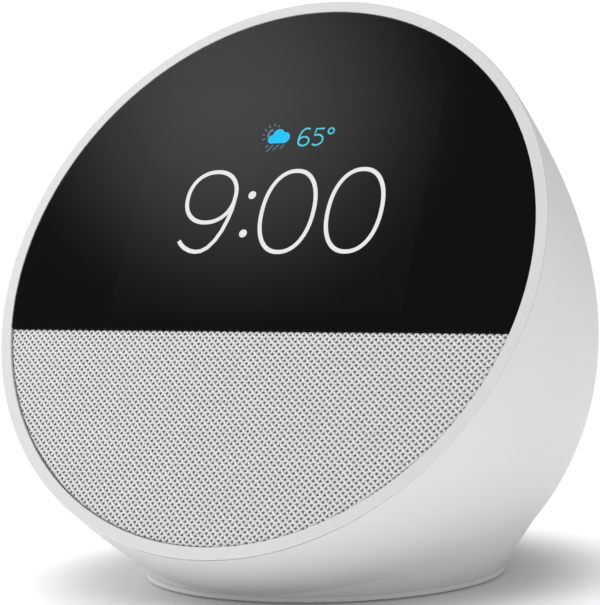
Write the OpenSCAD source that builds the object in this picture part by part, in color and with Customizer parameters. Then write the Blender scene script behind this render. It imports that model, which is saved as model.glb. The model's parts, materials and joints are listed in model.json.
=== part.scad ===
// Bedside smart display: a round shell cut by a leaning round face, with a screen above a speaker grille.
// The origin is on the table under the middle of the round base, +Z is up and the face looks towards -Y.

/* [Shell] */
// Width of the shell, which is also the outer diameter of the face ring
body_w = 113; // [90:1:140]
// How far the shell reaches behind the middle of the face, along the shell's own axis
shell_reach = 77.5; // [64:0.5:96]
// Roundness of the back: 2 is an ellipse, more is squarer
shell_power = 2.5; // [2.2:0.1:2.8]
// How far the shell's own axis dips below the face's axis, in degrees
shell_dip = 7.2; // [4:0.1:10]
// How far the face leans back, in degrees
face_tilt = 27.8; // [20:0.1:34]
// Wall of the rear housing
wall = 2.2; // [1.6:0.1:2.8]
// Wall of the housing where it laps round the front bezel
lap_wall = 1.1; // [0.9:0.1:1.4]

/* [Base] */
// Diameter of the flat base, where the skirt meets it
base_w = 68.8; // [58:0.2:82]
// How much wider than the bare round shell the skirt makes the base, on the radius
skirt_flare = 3.8; // [3:0.1:4.5]
// Height of the straight skirt above the base plate
skirt_h = 12; // [10:0.5:14]
// Height of the visible edge of the base plate
lip_h = 0.8; // [0.5:0.1:2]
// How far the edge of the base plate stands out past the skirt
lip_out = 0.2; // [0:0.1:0.5]
// Thickness of the base plate's floor
base_floor = 2.2; // [1.6:0.1:3]
// Height of the ring on the base plate that locates the housing
base_ring_h = 3.8; // [2.5:0.1:6]
// Number of rubber pads under the base
pad_count = 8; // [3:1:12]
// Diameter of a pad
pad_d = 4.4; // [3:0.2:6]
// How far the pads hold the base plate off the table
pad_h = 0.4; // [0.2:0.1:1]
// Distance from a pad's middle to the edge of the base
pad_inset = 3.4; // [2.8:0.1:6]

/* [Face ring and grille] */
// Width of the flat white ring round the face
ring_w = 2.3; // [1.8:0.1:3]
// Depth of the bezel behind the face
bezel_depth = 6.5; // [6:0.1:9]
// Thickness of the ring's rim, seen from the side
rim_t = 0.3; // [0.3:0.1:0.8]
// Width of the seam between the bezel and the housing
seam = 0.2; // [0.1:0.05:0.4]
// Width of the shelf that the glass and the grille rest on
shelf_w = 2.4; // [2:0.1:3]
// Thickness of the shelf
shelf_t = 1.5; // [1.2:0.1:2]
// Distance of the line between glass and grille below the middle of the face
split_drop = 12.84; // [10:0.1:15]
// Gap all round the glass and the grille
trim_gap = 0.2; // [0.1:0.05:0.4]
// How far the glass lies below the ring
glass_sink = 0.1; // [0:0.05:0.3]
// Thickness of the cover glass
glass_t = 1.1; // [0.7:0.1:1.4]
// Thickness of the adhesive under the glass
adhesive_t = 0.4; // [0.2:0.05:0.5]
// Thickness of the grille's woven cover
fabric_t = 0.65; // [0.4:0.05:0.8]
// Diameter of one sound hole in the grille's carrier
sound_hole_d = 2; // [1.2:0.1:2.2]
// Spacing of the sound holes
sound_hole_pitch = 3.2; // [2.8:0.1:4.5]

/* [Screen] */
// Width of the screen panel
lcd_w = 62; // [50:0.5:64]
// Height of the screen panel
lcd_h = 46.8; // [38:0.2:47]
// Height of the screen's middle above the middle of the face
lcd_rise = 14; // [13:0.1:15]
// Thickness of the screen panel
lcd_t = 1.5; // [1:0.1:1.6]
// Thickness of the touch layer
touch_t = 0.2; // [0.1:0.05:0.3]
// Thickness of the backlight
backlight_t = 2; // [1.4:0.1:2.2]

/* [Speaker] */
// Diameter of the speaker's mounting flange
speaker_d = 46.6; // [42:0.2:48]
// Distance of the speaker's axis below the middle of the face
speaker_drop = 29.5; // [27:0.1:32]
// Diameter of the cone
cone_d = 32; // [28:0.5:32]
// Depth of the cone
cone_depth = 5.3; // [4.5:0.1:6]
// Diameter of the voice coil's former, inside
coil_d = 11; // [9:0.5:12]
// Diameter of the ring magnet
magnet_d = 29; // [26:0.5:31]
// Thickness of the ring magnet
magnet_t = 6; // [4:0.5:7]
// How far the cone moves each way
cone_travel = 1.5; // [0.5:0.1:1.5]

/* [Buttons] */
// Distance of the buttons behind the middle of the face, along the shell's axis
button_back = 22; // [20:0.5:28]
// Spacing of the three buttons
button_pitch = 14.5; // [14:0.1:16]
// Diameter of a button
button_d = 9.2; // [8:0.1:9.4]
// How far a button stands out of the shell
button_proud = 0.4; // [0.1:0.1:0.8]
// Gap round a button
button_gap = 0.3; // [0.2:0.05:0.4]
// How far a button travels
button_travel = 0.5; // [0.3:0.1:0.6]
// Depth of the button board below the shell's surface
board_sink = 9.4; // [9.2:0.1:11]

/* [Power socket] */
// Height of the power socket above the table
socket_h = 34; // [30:0.5:40]
// Diameter of the hole that takes the plug's body
plug_d = 9.2; // [7:0.1:10]
// Depth of the hole that takes the plug's body
plug_depth = 5; // [4.2:0.1:7]
// Diameter of the flat recess round the hole
recess_d = 13; // [11:0.2:14]
// Diameter of the socket's mouth
socket_d = 5.6; // [4:0.1:6.4]
// Diameter of the socket's centre pin
socket_pin_d = 2; // [1.3:0.1:2.5]

/* [Electronics] */
// Width of the main board
board_w = 62; // [50:0.5:66]
// Height of the main board
board_h = 36; // [28:0.5:38]
// Thickness of the circuit boards
board_t = 1.2; // [0.8:0.1:1.6]
// Distance from the inner frame back to the main board
board_standoff = 7; // [6:0.1:9]

/* [Screws] */
// Diameter of the screws' shanks
screw_d = 2.2; // [1.6:0.1:2.6]
// Diameter of the screws' heads
screw_head_d = 4; // [3.2:0.1:4.6]
// Height of the screws' heads
screw_head_h = 1.4; // [1:0.1:1.6]
// Wall round a screw in its boss
boss_wall = 1.7; // [1.2:0.1:2.2]

/* [Hidden] */

round_fn = 120;
small_fn = 40;
far = 200;
eps = 0.05;

// Shell: the widest section is a circle close to the face's own edge
body_r = body_w / 2;
lean = face_tilt + shell_dip;
ring_step = 3;
front_angle = 12;
rim_gap = rim_t + seam;

// The dipping shell reaches too far out at the bottom of the face, so it is a little smaller and higher than the ring
edge_reach = body_r * sin(shell_dip) / shell_reach;
edge_excess = body_r * (pow(1 - pow(edge_reach, shell_power), 1 / shell_power) / cos(shell_dip) - 1);
shell_up = edge_excess / 2;
round_r = body_r - shell_up;

// Radius of the shell at a distance along its axis, with the surface moved in by the given amount
function shell_r(along, inset) =
  let (r = round_r - inset, reach = shell_reach - inset)
  along <= 0
    ? sqrt(r * r - along * along)
    : r * pow(max(0, 1 - pow(min(along, reach) / reach, shell_power)), 1 / shell_power);

// Steepness of the shell's outline at a distance along its axis
function shell_slope(along) =
  let (q = along / shell_reach)
  round_r / shell_reach * pow(1 - pow(q, shell_power), 1 / shell_power - 1) * pow(q, shell_power - 1);

// Half width of the bare shell's level section at a depth below the shell's own middle, and its middle in Y
function section(depth) =
  let (
    cuts = [
      for (t = [1 : 1 : 89])
        let (
          along = shell_reach * sin(t),
          offset = (depth - along * sin(lean)) / cos(lean),
          left = pow(shell_r(along, 0), 2) - offset * offset
        )
        if (left > 0) [sqrt(left), along * cos(lean) - offset * sin(lean)]
    ],
    widest = max([for (c = cuts) c[0]])
  )
  [widest, [for (c = cuts) if (c[0] == widest) c[1]][0]];

// Depth at which the bare shell's level section has the given half width, found by halving
function section_depth(half_width, low, high, turns) =
  let (middle = (low + high) / 2)
  turns == 0
    ? middle
    : section(middle)[0] > half_width
      ? section_depth(half_width, middle, high, turns - 1)
      : section_depth(half_width, low, middle, turns - 1);

base_r = base_w / 2;
section_turns = 14;
base_drop = section_depth(base_r - skirt_flare, body_r / 2, body_r * 1.15, section_turns);
housing_bottom = pad_h + lip_h;
shell_h = housing_bottom + base_drop;
shell_y = -section(base_drop)[1];
face_h = shell_h - shell_up * cos(face_tilt);
face_y = shell_y - shell_up * sin(face_tilt);
skirt_top_r = section(base_drop - skirt_h)[0] - 0.4;
floor_top = pad_h + base_floor;

// Face
ring_in = body_r - ring_w;
rim_chamfer = 0.15;
lap_r = body_r - lap_wall;
web_out = lap_r - seam;
web_in = web_out - 1.3;
shelf_in = ring_in - shelf_w;
shelf_z = -glass_sink - glass_t - adhesive_t;
shelf_back = shelf_z - shelf_t;
trim_r = ring_in - trim_gap;
bar_h = 4.8;
bar_up = 2.2;

// Inner frame, a plate behind the bezel
frame_front = -5.3;
frame_t = 1.5;
frame_back = frame_front - frame_t;
frame_r = web_in - 0.4;
boss_r = screw_d / 2 + boss_wall;
screw_clear = 0.15;
bezel_post_at = shelf_in - 1;
bezel_post_angles = [90, 13, 167, 232, 308];
housing_post_at = frame_r - 6.5;
housing_post_angles = [26, 154, 203, 337];
housing_post_l = 9;
rib_t = 1.6;
screw_l = 6;

// Screen
touch_back = -glass_sink - glass_t - touch_t;
lcd_back = touch_back - lcd_t;
backlight_back = lcd_back - backlight_t;
touch_margin = 0.8;
backlight_margin = 0.5;
flex_w = 12;
flex_t = 0.3;
flex_x = 8;
flex_end_y = lcd_rise + lcd_h / 2 - 12;

// Grille
carrier_front = -glass_sink - 0.05 - fabric_t;
sound_r = cone_d / 2 + 2.5;

// Speaker, in planes behind the face
gasket_t = 0.5;
surround_t = 0.3;
speaker_front = frame_back - gasket_t;
flange_front = speaker_front - surround_t;
flange_t = 1;
flange_back = flange_front - flange_t;
speaker_r = speaker_d / 2;
cone_r = cone_d / 2;
roll_r = 1.6;
roll_at = cone_r + roll_r;
land_in = roll_at + roll_r;
cone_edge = flange_front - surround_t;
coil_r = coil_d / 2;
neck_z = cone_edge - cone_depth;
paper_t = 0.35;
coil_l = 7.5;
coil_wire = 0.4;
former_t = 0.3;
neck_r = coil_r + former_t;
spider_z = neck_z - 1.2;
spider_out = cone_r - 1;
spider_waves = 4;
basket_floor = spider_z - 3.2;
top_plate_front = basket_floor - 1;
top_plate_t = 1.5;
magnet_r = magnet_d / 2;
magnet_front = top_plate_front - top_plate_t;
magnet_back = magnet_front - magnet_t;
yoke_t = 2;
pole_r = coil_r - 0.3;
magnet_gap = coil_r + former_t + coil_wire + 0.4;
terminal_w = 6;
terminal_l = 2.4;
terminal_y = speaker_r + terminal_l - 1.2 - speaker_drop;
speaker_screw_at = speaker_r - 1.75;
speaker_screw_bite = 0.9;
speaker_screw_angles = [45, 135, 225, 315];

// Main board
board_front = frame_back - board_standoff;
board_back = board_front - board_t;
board_low = -4;
board_hole_x = board_w / 2 - 3;
board_hole_y = [board_low + 3, board_low + board_h - 3];
shield_t = 2;
pad_t = 0.5;
spreader_t = 1.5;
connector_h = 4;
connector_low_h = 1.4;
connector_w = 8;
connector_l = 3;
connector_y = board_low + 5.5;
power_connector_x = 18;
button_flex_x = 16;
button_connector_y = board_low + board_h - 4.5;

// Buttons, in a frame on the shell with +Z outwards
button_lean = atan(shell_slope(button_back));
button_r = button_d / 2;
button_x = [-button_pitch, 0, button_pitch];
flange_w = 1;
flange_gap = 0.3;
flange_back_z = -7;
stem_r = 1.2;
switch_w = 5.2;
switch_h = 1.5;
switch_well_r = 1.7;
switch_well = 1.1;
switch_top = -board_sink + switch_h;
mic_x = button_pitch / 2;
mic_hole_r = 0.5;
mic_boot_r = 1.25;
button_board_w = 50;
button_board_l = 13;
button_screw_x = button_board_w / 2 - 2.6;

// Power socket
back_outline = [
  for (t = [50 : 1 : 88])
    let (along = shell_reach * sin(t), r = shell_r(along, 0))
    [shell_h - along * sin(lean) + r * cos(lean), shell_y + along * cos(lean) + r * sin(lean)]
];
recess_y = lookup(socket_h - recess_d / 2, back_outline) - 0.3;
jack_front = recess_y - plug_depth;
jack_w = 9;
jack_l = 12;
jack_hole_l = 9.5;
plug_wall = 1.8;
power_board_top = socket_h - jack_w / 2;
power_board_w = 24;
power_board_l = 22;
power_post_x = 8;
power_post_y = jack_front - jack_l - 4;

// Base
base_ring_out = base_r - wall - 0.7;
base_ring_t = 1.4;
base_screw_at = base_r - 10.4;
base_screw_angles = [100, 180, 260];
base_boss_h = 9;

// A point of the face's frame, given up the face and out of it, as [y, z] of the part's own frame
function face_point(up, out) = [
  face_y + up * sin(face_tilt) - out * cos(face_tilt),
  face_h + up * cos(face_tilt) + out * sin(face_tilt)
];

// A point of the buttons' frame, given down the back and out of it, as [y, z] of the part's own frame
button_lie = lean + button_lean;
button_base = [
  shell_y + button_back * cos(lean) + shell_r(button_back, 0) * sin(lean),
  shell_h - button_back * sin(lean) + shell_r(button_back, 0) * cos(lean)
];
function button_point(down, out) = button_base + down * [cos(button_lie), -sin(button_lie)]
  + out * [sin(button_lie), cos(button_lie)];

/* Frames and shapes used by several pieces */

// The face's frame: the origin is the middle of the face, +Z points out of it and +Y up along it
module in_face() {
  translate([0, face_y, face_h])
    rotate([90 - face_tilt, 0, 0])
      children();
}

// The shell's frame: +Z runs back along the shell's axis from the shell's middle, a little above the face's
module in_shell() {
  in_face()
    translate([0, shell_up, 0])
      rotate([180 - shell_dip, 0, 0])
        children();
}

// The buttons' frame: the origin is on the shell, +Z points out of it
module in_buttons() {
  in_shell()
    translate([0, -shell_r(button_back, 0), button_back])
      rotate([90 - button_lean, 0, 0])
        children();
}

// A point on the base at an angle from the front, turning towards +X
module round_base(angle, radius) {
  rotate([0, 0, angle - 90])
    translate([radius, 0, 0])
      children();
}

// The closed round form of the shell, with its surface moved in by the given amount
module round_form(inset) {
  reach = shell_reach - inset;
  front = [for (a = [-front_angle : ring_step : -ring_step]) (round_r - inset) * [cos(a), sin(a)]];
  back = [for (t = [0 : ring_step : 90 - ring_step]) [shell_r(reach * sin(t), inset), reach * sin(t)]];
  in_shell()
    rotate_extrude($fn = round_fn)
      polygon(concat([[0, front[0][1]]], front, back, [[0, reach]]));
}

// The straight skirt that widens the bottom of the form
module skirt(inset) {
  drop = inset > 0 ? 1 : 0;
  slope = (skirt_top_r - base_r) / skirt_h;
  translate([0, 0, housing_bottom - drop])
    cylinder(
      h = skirt_h + drop,
      r1 = base_r - inset - slope * drop,
      r2 = skirt_top_r - inset,
      $fn = round_fn
    );
}

// Everything in front of a plane behind the face
module ahead_of(depth) {
  in_face()
    translate([-far / 2, -far / 2, -depth])
      cube([far, far, far]);
}

// Everything below a level
module below(level) {
  translate([-far / 2, -far / 2, level - far])
    cube([far, far, far]);
}

// A screw with its head's underside on z = 0 and its shank running to -Z
module screw(length) {
  cylinder(h = screw_head_h, d = screw_head_d, $fn = small_fn);
  translate([0, 0, -length])
    cylinder(h = length, d = screw_d, $fn = small_fn);
}

// A round post with a rib out to the wall, standing along +Z, its rib starting a little up
module ribbed_post(height, rib_l, rib_from) {
  cylinder(h = height, r = boss_r, $fn = small_fn);
  translate([0, -rib_t / 2, rib_from])
    cube([rib_l, rib_t, height - rib_from]);
}

// A wire through a list of points
module wire(points, d) {
  for (i = [0 : len(points) - 2]) {
    step = points[i + 1] - points[i];
    translate(points[i]) {
      rotate([0, acos(step[2] / norm(step)), atan2(step[1], step[0])])
        cylinder(h = norm(step), d = d, $fn = small_fn);
      if (i > 0)
        sphere(d = d * 1.08, $fn = small_fn);
    }
  }
}

// A flat ribbon of one width at a middle x that follows [y, z] points, its corners mitred
module ribbon(x, points, w, t) {
  last = len(points) - 1;
  ways = [for (i = [0 : last - 1]) (points[i + 1] - points[i]) / norm(points[i + 1] - points[i])];
  sides = [
    for (i = [0 : last])
      let (
        before = ways[max(i - 1, 0)],
        after = ways[min(i, last - 1)],
        across = [-before[1] - after[1], before[0] + after[0]]
      )
      across * t / (1 + before * after) / 2
  ];
  one = [for (i = [0 : last]) points[i] + sides[i]];
  other = [for (i = [last : -1 : 0]) points[i] - sides[i]];
  translate([x - w / 2, 0, 0])
    rotate([90, 0, 90])
      linear_extrude(w)
        polygon(concat(one, other));
}

// The part of the face above or below the line between glass and grille
module face_part(radius, from_y, to_y) {
  intersection() {
    circle(r = radius, $fn = round_fn);
    translate([-far / 2, from_y])
      square([far, to_y - from_y]);
  }
}

/* Casing */

module rear_housing() {
  color("whitesmoke")
    difference() {
      union() {
        round_form(0);
        skirt(0);
      }
      ahead_of(rim_gap);
      below(housing_bottom);
      difference() {
        union() {
          round_form(wall);
          skirt(wall);
        }
        in_face()
          for (a = housing_post_angles)
            rotate([0, 0, a])
              translate([housing_post_at, 0, frame_back - housing_post_l])
                ribbed_post(housing_post_l, wall + 12, 0);
        for (a = base_screw_angles)
          round_base(a, base_screw_at)
            translate([0, 0, floor_top])
              ribbed_post(base_boss_h, 14, base_ring_h);
        in_buttons()
          for (side = [-1, 1])
            translate([side * button_screw_x, 0, -board_sink])
              cylinder(h = board_sink, r = boss_r - 0.6, $fn = small_fn);
        translate([0, jack_front, socket_h])
          rotate([-90, 0, 0])
            cylinder(h = far / 2, r = plug_d / 2 + plug_wall, $fn = small_fn);
      }
      in_face()
        translate([0, 0, -bezel_depth - rim_gap])
          cylinder(h = far / 2, r = lap_r, $fn = round_fn);
      in_face()
        for (a = housing_post_angles)
          rotate([0, 0, a])
            translate([housing_post_at, 0, frame_back - screw_l])
              cylinder(h = screw_l + 1, d = screw_d, $fn = small_fn);
      for (a = base_screw_angles)
        round_base(a, base_screw_at)
          translate([0, 0, floor_top - 1])
            cylinder(h = screw_l + 1, d = screw_d, $fn = small_fn);
      in_buttons() {
        for (x = button_x)
          translate([x, 0, -wall - 6])
            cylinder(h = wall + 12, r = button_r + button_gap, $fn = small_fn);
        for (side = [-1, 1]) {
          translate([side * mic_x, 0, -wall - 2])
            cylinder(h = wall + 4, r = mic_hole_r, $fn = small_fn);
          translate([side * button_screw_x, 0, -board_sink - 1])
            cylinder(h = 4, d = screw_d - 0.6, $fn = small_fn);
        }
      }
      translate([0, jack_front - 1, socket_h])
        rotate([-90, 0, 0])
          cylinder(h = far / 2, d = plug_d, $fn = small_fn);
      translate([0, recess_y, socket_h])
        rotate([-90, 0, 0])
          cylinder(h = far / 2, d = recess_d, $fn = small_fn);
    }
}

module front_bezel() {
  color("white")
    in_face()
      difference() {
        union() {
          rotate_extrude($fn = round_fn)
            polygon([
              [ring_in, 0],
              [body_r - eps - rim_chamfer, 0],
              [body_r - eps, -rim_chamfer],
              [body_r - eps, -rim_t],
              [web_out, -rim_t],
              [web_out, -bezel_depth],
              [web_in, -bezel_depth],
              [web_in, shelf_back],
              [shelf_in, shelf_back],
              [shelf_in, shelf_z],
              [ring_in, shelf_z]
            ]);
          translate([0, 0, shelf_back])
            linear_extrude(shelf_t)
              face_part(shelf_in + 0.5, -split_drop + bar_up - bar_h, -split_drop + bar_up);
          for (a = bezel_post_angles)
            rotate([0, 0, a])
              translate([bezel_post_at, 0, frame_front])
                cylinder(h = shelf_z - frame_front, r = boss_r, $fn = small_fn);
        }
        for (a = bezel_post_angles)
          rotate([0, 0, a])
            translate([bezel_post_at, 0, frame_front - 1])
              cylinder(h = shelf_z - frame_front + 0.2, d = screw_d, $fn = small_fn);
      }
}

module base_plate() {
  color("gainsboro")
    difference() {
      union() {
        translate([0, 0, pad_h])
          cylinder(h = lip_h, r = base_r + lip_out, $fn = round_fn);
        translate([0, 0, pad_h])
          cylinder(h = base_floor, r = base_ring_out, $fn = round_fn);
        difference() {
          translate([0, 0, pad_h])
            cylinder(h = base_floor + base_ring_h - lip_h, r = base_ring_out, $fn = round_fn);
          translate([0, 0, floor_top])
            cylinder(h = far, r = base_ring_out - base_ring_t, $fn = round_fn);
        }
        for (side = [-1, 1])
          translate([side * power_post_x, power_post_y, floor_top - 0.2])
            cylinder(h = power_board_top - board_t - floor_top + 0.2, r = boss_r, $fn = small_fn);
      }
      for (i = [0 : pad_count - 1])
        round_base(i * 360 / pad_count, base_r - pad_inset)
          cylinder(h = pad_h + 0.5, d = pad_d + 0.1, $fn = small_fn);
      for (a = base_screw_angles)
        round_base(a, base_screw_at) {
          cylinder(h = floor_top + 1, r = screw_d / 2 + screw_clear, $fn = small_fn);
          cylinder(h = pad_h + screw_head_h - 0.2, r = screw_head_d / 2 + screw_clear, $fn = small_fn);
        }
      for (side = [-1, 1])
        translate([side * power_post_x, power_post_y, power_board_top - screw_l])
          cylinder(h = screw_l, d = screw_d, $fn = small_fn);
    }
}

module foot_pads() {
  color("dimgray")
    for (i = [0 : pad_count - 1])
      round_base(i * 360 / pad_count, base_r - pad_inset)
        cylinder(h = pad_h + 0.5, d = pad_d, $fn = small_fn);
}

module base_screws() {
  color("silver")
    for (a = base_screw_angles)
      round_base(a, base_screw_at)
        translate([0, 0, pad_h + screw_head_h - 0.2])
          rotate([180, 0, 0])
            screw(screw_l);
}

/* Inner frame */

module inner_frame() {
  frame_window_h = 14;
  color("slategray")
    in_face()
      difference() {
        union() {
          translate([0, 0, frame_back])
            cylinder(h = frame_t, r = frame_r, $fn = round_fn);
          for (side = [-1, 1], y = board_hole_y)
            translate([side * board_hole_x, y, board_front])
              cylinder(h = frame_back - board_front + 0.2, r = boss_r, $fn = small_fn);
        }
        translate([0, -speaker_drop, frame_back - 1])
          cylinder(h = frame_t + 2, r = land_in + 0.3, $fn = round_fn);
        translate([-flex_x - flex_w / 2 - 1, lcd_rise + lcd_h / 2 - frame_window_h, frame_back - 1])
          cube([flex_w + 2, frame_window_h - 3, frame_t + 2]);
        for (a = bezel_post_angles)
          rotate([0, 0, a])
            translate([bezel_post_at, 0, frame_back - 1])
              cylinder(h = frame_t + 2, r = screw_d / 2 + screw_clear, $fn = small_fn);
        for (a = housing_post_angles)
          rotate([0, 0, a])
            translate([housing_post_at, 0, frame_back - 1])
              cylinder(h = frame_t + 2, r = screw_d / 2 + screw_clear, $fn = small_fn);
        for (side = [-1, 1], y = board_hole_y)
          translate([side * board_hole_x, y, board_front - 1])
            cylinder(h = screw_l - board_t + 1, d = screw_d, $fn = small_fn);
        for (a = speaker_screw_angles)
          translate([0, -speaker_drop, frame_back - 1])
            rotate([0, 0, a])
              translate([speaker_screw_at, 0, 0])
                cylinder(h = 1 + speaker_screw_bite + 0.2, d = screw_d, $fn = small_fn);
      }
}

module frame_screws() {
  color("silver")
    in_face()
      for (a = bezel_post_angles)
        rotate([0, 0, a])
          translate([bezel_post_at, 0, frame_back])
            rotate([180, 0, 0])
              screw(frame_t + shelf_z - frame_front - 1.2);
}

module housing_screws() {
  color("silver")
    in_face()
      for (a = housing_post_angles)
        rotate([0, 0, a])
          translate([housing_post_at, 0, frame_front])
            screw(frame_t + screw_l - 0.5);
}

/* Screen */

module cover_glass() {
  color([0.03, 0.03, 0.035])
    in_face()
      translate([0, 0, -glass_sink - glass_t])
        linear_extrude(glass_t)
          face_part(trim_r, -split_drop + trim_gap / 2, body_r);
}

module glass_adhesive() {
  color("black")
    in_face()
      translate([0, 0, shelf_z])
        linear_extrude(adhesive_t)
          difference() {
            face_part(trim_r - 0.2, -split_drop + trim_gap / 2 + 0.2, body_r);
            face_part(shelf_in + 0.2, -split_drop + bar_up - 0.2, body_r);
          }
}

// A rectangular layer of the screen
module screen_layer(back, thickness, margin) {
  translate([-lcd_w / 2 - margin, lcd_rise - lcd_h / 2 - margin, back])
    cube([lcd_w + 2 * margin, lcd_h + 2 * margin, thickness]);
}

module touch_sensor() {
  color([0.1, 0.1, 0.12])
    in_face()
      screen_layer(touch_back, touch_t, touch_margin);
}

module lcd_panel() {
  color([0.07, 0.07, 0.08])
    in_face()
      screen_layer(lcd_back, lcd_t, 0);
}

module backlight() {
  color("lightgray")
    in_face()
      difference() {
        screen_layer(backlight_back, backlight_t, backlight_margin);
        screen_layer(backlight_back + backlight_t - 0.4, 1, -1.5);
      }
}

module display_flex() {
  color("orange")
    in_face()
      ribbon(-flex_x, [
        [flex_end_y + 3, backlight_back - flex_t / 2],
        [flex_end_y + 0.6, backlight_back - flex_t / 2],
        [flex_end_y, backlight_back - 1.2],
        [flex_end_y, board_front + connector_low_h]
      ], flex_w, flex_t);
}

/* Grille */

module grille_carrier() {
  columns = floor(sound_r / sound_hole_pitch) + 1;
  row = sound_hole_pitch * sqrt(3) / 2;
  color("dimgray")
    in_face()
      translate([0, 0, shelf_z])
        linear_extrude(carrier_front - shelf_z)
          difference() {
            face_part(trim_r - fabric_t / 2, -body_r, -split_drop - trim_gap / 2 - fabric_t / 2);
            for (i = [-columns : columns], j = [-columns : columns]) {
              x = (i + (j % 2 == 0 ? 0 : 0.5)) * sound_hole_pitch;
              y = j * row;
              if (norm([x, y]) < sound_r && y < speaker_drop - split_drop - 3.2)
                translate([x, y - speaker_drop])
                  circle(d = sound_hole_d, $fn = 16);
            }
          }
}

module grille_fabric() {
  color("white")
    in_face()
      translate([0, 0, carrier_front])
        linear_extrude(fabric_t)
          face_part(trim_r, -body_r, -split_drop - trim_gap / 2);
}

/* Speaker, all in the face's frame with its axis at the speaker's middle */

module in_speaker() {
  in_face()
    translate([0, -speaker_drop, 0])
      children();
}

module speaker_basket() {
  ring_t = 1.1;
  seat_z = spider_z - 0.15;
  color([0.15, 0.15, 0.16])
    in_speaker()
      difference() {
        union() {
          rotate_extrude($fn = round_fn)
            polygon([
              [land_in - 0.8, flange_front],
              [speaker_r, flange_front],
              [speaker_r, flange_back],
              [land_in - 0.8 + ring_t, flange_back],
              [spider_out + ring_t, seat_z - 1],
              [spider_out - 0.4, basket_floor - 1],
              [magnet_gap + 2, basket_floor - 1],
              [magnet_gap + 2, basket_floor],
              [spider_out - 1.6, basket_floor],
              [spider_out - 0.9, seat_z],
              [spider_out + 0.1, seat_z],
              [land_in - 0.8, flange_back]
            ]);
          translate([-terminal_w / 2, speaker_r - 1.5, flange_back])
            cube([terminal_w, 1.5 + terminal_l, flange_t]);
        }
        for (a = speaker_screw_angles)
          rotate([0, 0, a])
            translate([speaker_screw_at, 0, flange_back - 1])
              cylinder(h = flange_t + 2, r = screw_d / 2 + screw_clear, $fn = small_fn);
        for (a = [0 : 90 : 270])
          rotate([0, 0, a])
            translate([0, -3.5, basket_floor + 0.6])
              cube([far / 2, 7, 2]);
      }
}

module speaker_gasket() {
  color("black")
    in_speaker()
      translate([0, 0, speaker_front])
        difference() {
          cylinder(h = gasket_t, r = speaker_r - 0.2, $fn = round_fn);
          translate([0, 0, -1])
            cylinder(h = gasket_t + 2, r = land_in + 0.3, $fn = round_fn);
          for (a = speaker_screw_angles)
            rotate([0, 0, a])
              translate([speaker_screw_at, 0, -1])
                cylinder(h = gasket_t + 2, r = screw_d / 2 + screw_clear, $fn = small_fn);
        }
}

module speaker_surround() {
  color([0.12, 0.12, 0.12])
    in_speaker()
      difference() {
        rotate_extrude($fn = round_fn)
          union() {
            intersection() {
              difference() {
                translate([roll_at, flange_front])
                  circle(r = roll_r, $fn = small_fn);
                translate([roll_at, flange_front])
                  circle(r = roll_r - surround_t, $fn = small_fn);
              }
              translate([roll_at - roll_r - 1, flange_front])
                square([2 * roll_r + 2, roll_r + 1]);
            }
            translate([roll_at + roll_r - surround_t, flange_front])
              square([speaker_r - 0.2 - roll_at - roll_r + surround_t, surround_t]);
            translate([cone_r - 1.2, flange_front])
              square([1.2 + surround_t, surround_t]);
          }
        for (a = speaker_screw_angles)
          rotate([0, 0, a])
            translate([speaker_screw_at, 0, flange_front - 1])
              cylinder(h = 2, r = screw_d / 2 + screw_clear, $fn = small_fn);
      }
}

module speaker_cone() {
  color([0.2, 0.2, 0.22])
    in_speaker()
      rotate_extrude($fn = round_fn)
        polygon([
          [cone_r, flange_front],
          [cone_r - 1.2, flange_front],
          [neck_r, neck_z + paper_t],
          [neck_r, neck_z],
          [cone_r - 0.9, cone_edge],
          [cone_r, cone_edge]
        ]);
}

module dust_cap() {
  cap_r = 9;
  edge_r = coil_r + 0.9;
  cone_rise = (flange_front - neck_z - paper_t) / (cone_r - 1.2 - neck_r);
  cap_z = neck_z + paper_t + (edge_r - neck_r) * cone_rise;
  middle_z = cap_z - sqrt(cap_r * cap_r - edge_r * edge_r);
  color([0.1, 0.1, 0.11])
    in_speaker()
      translate([0, 0, middle_z])
        difference() {
          sphere(r = cap_r, $fn = round_fn);
          sphere(r = cap_r - paper_t, $fn = round_fn);
          translate([-far / 2, -far / 2, cap_z - middle_z - far])
            cube([far, far, far]);
        }
}

module voice_coil() {
  color("peru")
    in_speaker()
      translate([0, 0, neck_z - coil_l])
        difference() {
          union() {
            cylinder(h = coil_l + paper_t, r = coil_r + former_t, $fn = round_fn);
            cylinder(h = coil_l - 3.4, r = coil_r + former_t + coil_wire, $fn = round_fn);
          }
          translate([0, 0, -1])
            cylinder(h = coil_l + 3, r = coil_r, $fn = round_fn);
        }
}

module speaker_spider() {
  inner = coil_r + former_t + 0.05;
  wave = (spider_out - 1.4 - inner) / spider_waves;
  crest = 0.5;
  top = [
    for (i = [0 : spider_waves * 2])
      [inner + 0.5 + i * wave / 2, spider_z + (i % 2 == 0 ? 0 : crest) + surround_t / 2]
  ];
  bottom = [for (i = [len(top) - 1 : -1 : 0]) top[i] - [0, surround_t]];
  color("goldenrod")
    in_speaker()
      rotate_extrude($fn = round_fn)
        polygon(concat(
          [[inner, spider_z + surround_t / 2]],
          top,
          [[spider_out, spider_z + surround_t / 2], [spider_out, spider_z - surround_t / 2]],
          bottom,
          [[inner, spider_z - surround_t / 2]]
        ));
}

module speaker_top_plate() {
  color("gray")
    in_speaker()
      translate([0, 0, magnet_front])
        difference() {
          cylinder(h = top_plate_t, r = magnet_r - 1, $fn = round_fn);
          translate([0, 0, -1])
            cylinder(h = top_plate_t + 2, r = magnet_gap, $fn = round_fn);
        }
}

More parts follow.
